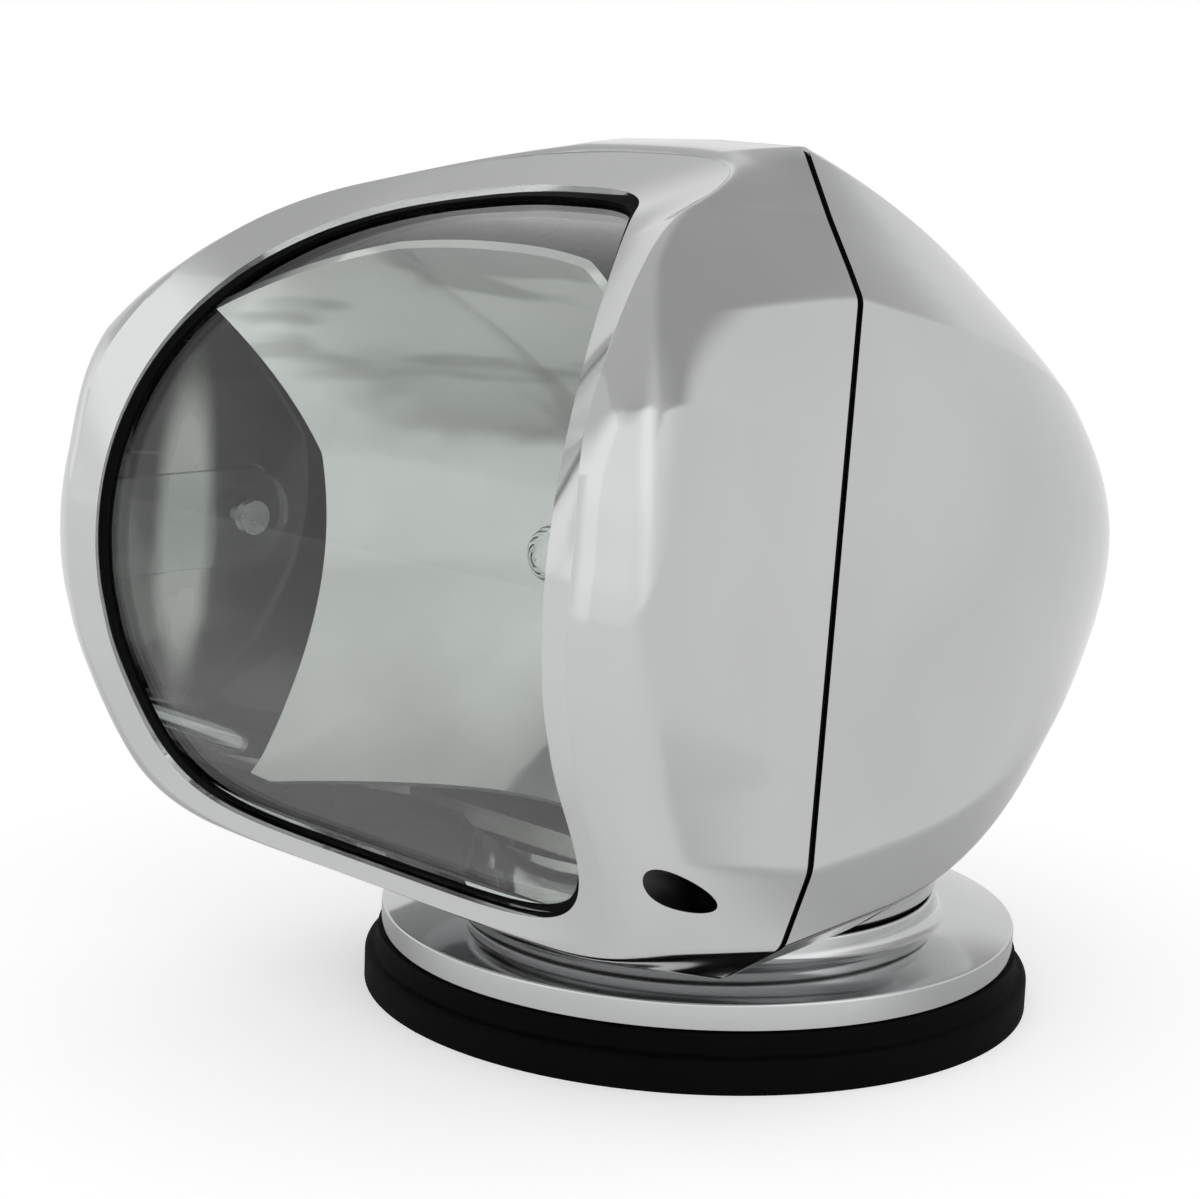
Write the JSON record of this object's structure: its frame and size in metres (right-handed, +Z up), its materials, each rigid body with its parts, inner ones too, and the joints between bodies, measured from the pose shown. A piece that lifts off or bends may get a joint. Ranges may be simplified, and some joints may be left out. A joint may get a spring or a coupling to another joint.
{
  "type": "marine searchlight",
  "caption": "Chromed marine searchlight with a wrap-round lens, a remote pan head on a round deck base and a reflector that tilts inside",
  "frame": {"origin": "on the pan axis, at the underside of the deck gasket", "axes": "+Z up along the pan axis, the beam leaves along -Y at rest, +X to the right seen from the front of the beam looking at +Y"},
  "size_m": [0.1496, 0.1954, 0.1586],
  "materials": {
    "chrome_shell": "bright chrome plate",
    "chrome_base": "bright chrome plate on a casting",
    "rubber": "matt black rubber",
    "clear_lens": "clear moulded lens",
    "steel": "turned steel",
    "brass": "turned brass",
    "zinc_sheet": "zinc plated sheet",
    "nylon": "natural nylon",
    "black_plastic": "moulded black",
    "motor_can": "drawn steel can",
    "circuit": "green solder mask",
    "mirror": "metallised mirror",
    "cradle": "grey enamel",
    "lamp_base": "off-white ceramic",
    "bulb": "clear quartz"
  },
  "bodies": {
    "base": {"base_gasket": "rubber", "base_flange": "chrome_base", "base_inserts": "brass", "pan_spindle": "steel", "cable_grommet": "rubber", "thrust_washer": "nylon", "pan_gear": "steel", "spindle_nut": "zinc_sheet"},
    "head": {"turntable": "chrome_base", "pan_bush": "brass", "neck_seal": "rubber", "rear_housing": "chrome_shell", "front_housing": "chrome_shell", "housing_gasket": "rubber", "housing_screws": "steel", "lens": "clear_lens", "lens_gasket": "rubber", "lens_screws": "steel", "chassis": "zinc_sheet", "chassis_screws": "zinc_sheet", "tilt_bushes": "nylon", "pan_gearbox": "black_plastic", "pan_motor": "motor_can", "tilt_gearbox": "black_plastic", "tilt_motor": "motor_can", "board_standoffs": "brass", "control_board": "circuit", "board_parts": "black_plastic"},
    "lamp": {"reflector": "mirror", "lamp_cradle": "cradle", "trunnion_pins": "steel", "tilt_sector": "nylon", "bulb_holder": "lamp_base", "bulb_clip": "zinc_sheet", "bulb_glass": "bulb", "filament": "steel"},
    "pan_drive": {"pan_pinion": "steel"},
    "tilt_drive": {"tilt_pinion": "steel"}
  },
  "joints": [
    {"name": "pan", "type": "hinge", "parent": "base", "child": "head", "pos_m": [0, 0, 0.025], "axis": [0, 0, 1], "range_deg": [-185, 185]},
    {"name": "tilt", "type": "hinge", "parent": "head", "child": "lamp", "pos_m": [0, -0.034, 0.086], "axis": [-1, 0, 0], "range_deg": [-15, 6]},
    {"name": "pan_pinion_spin", "type": "hinge", "parent": "head", "child": "pan_drive", "pos_m": [0, 0.03, 0.035], "axis": [0, 0, 1], "range_deg": [-741, 741]},
    {"name": "tilt_pinion_spin", "type": "hinge", "parent": "head", "child": "tilt_drive", "pos_m": [-0.045, -0.00147, 0.05347], "axis": [-1, 0, 0], "range_deg": [-41, 101]}
  ],
  "couplings": [
    {"joint": "pan_pinion_spin", "follows": "pan", "ratio": 4},
    {"joint": "tilt_pinion_spin", "follows": "tilt", "ratio": -6.6667}
  ]
}
